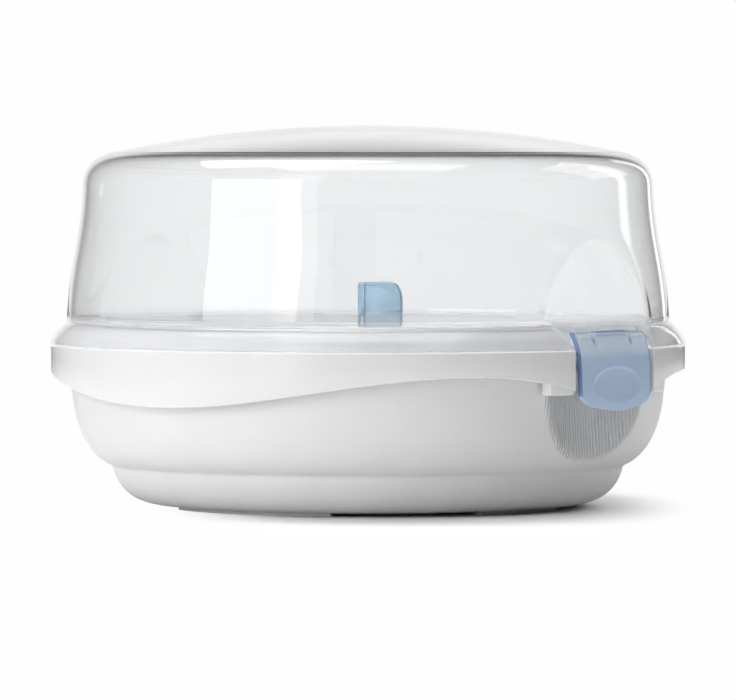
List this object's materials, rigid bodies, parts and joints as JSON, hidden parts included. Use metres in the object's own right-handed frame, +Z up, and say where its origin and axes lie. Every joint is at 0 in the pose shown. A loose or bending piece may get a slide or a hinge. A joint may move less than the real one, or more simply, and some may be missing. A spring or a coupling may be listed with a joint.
{
  "type": "microwave steam steriliser for baby bottles",
  "caption": "Round microwave steam steriliser: stepped bowl with wavy side grips, clear domed lid, hinged side clips, steam tray with lifting handle, and tongs.",
  "frame": {"origin": "centre of the foot ring, on the surface that the bowl stands on", "axes": "+Z up through the lid's crown, +X towards the right clip, -Y towards the near side grip"},
  "size_m": [0.2812, 0.2798, 0.1682],
  "materials": {
    "bowl_plastic": "fine satin white polypropylene",
    "grip_plastic": "polished white polypropylene",
    "lid_plastic": "clear polished polypropylene, a little milky in the thick flange",
    "clip_plastic": "translucent blue, polished",
    "tray_plastic": "satin white polypropylene",
    "handle_plastic": "translucent blue, polished",
    "tongs_plastic": "satin milky white polypropylene"
  },
  "bodies": {
    "base": {"base_bowl": "bowl_plastic", "near_side_grip": "grip_plastic", "far_side_grip": "grip_plastic"},
    "lid": {"lid": "lid_plastic", "right_clip_pin": "clip_plastic", "left_clip_pin": "clip_plastic"},
    "right_clip": {"right_clip": "clip_plastic"},
    "left_clip": {"left_clip": "clip_plastic"},
    "tray": {"steam_tray": "tray_plastic", "lifting_handle": "handle_plastic"},
    "tongs": {"tongs_fixed_arm": "tongs_plastic"},
    "tongs_arm": {"tongs_moving_arm": "tongs_plastic"}
  },
  "joints": [
    {"name": "lid_lift", "type": "slide", "parent": "base", "child": "lid", "axis": [0, 0, 1], "range_m": [0, 0.16]},
    {"name": "right_clip_turn", "type": "hinge", "parent": "lid", "child": "right_clip", "pos_m": [0.1325, 0, 0.076], "axis": [0, -1, 0], "range_deg": [0, 80]},
    {"name": "left_clip_turn", "type": "hinge", "parent": "lid", "child": "left_clip", "pos_m": [-0.1325, 0, 0.076], "axis": [0, 1, 0], "range_deg": [0, 80]},
    {"name": "tray_lift", "type": "slide", "parent": "base", "child": "tray", "axis": [0, 0, 1], "range_m": [0, 0.04]},
    {"name": "tongs_lift", "type": "slide", "parent": "tray", "child": "tongs", "axis": [0, 0, 1], "range_m": [0, 0.045]},
    {"name": "tongs_squeeze", "type": "hinge", "parent": "tongs", "child": "tongs_arm", "pos_m": [-0.042, -0.053, 0.039], "axis": [0, 0, 1], "range_deg": [0, 14], "stiffness_Nm_per_rad": 0.08}
  ]
}
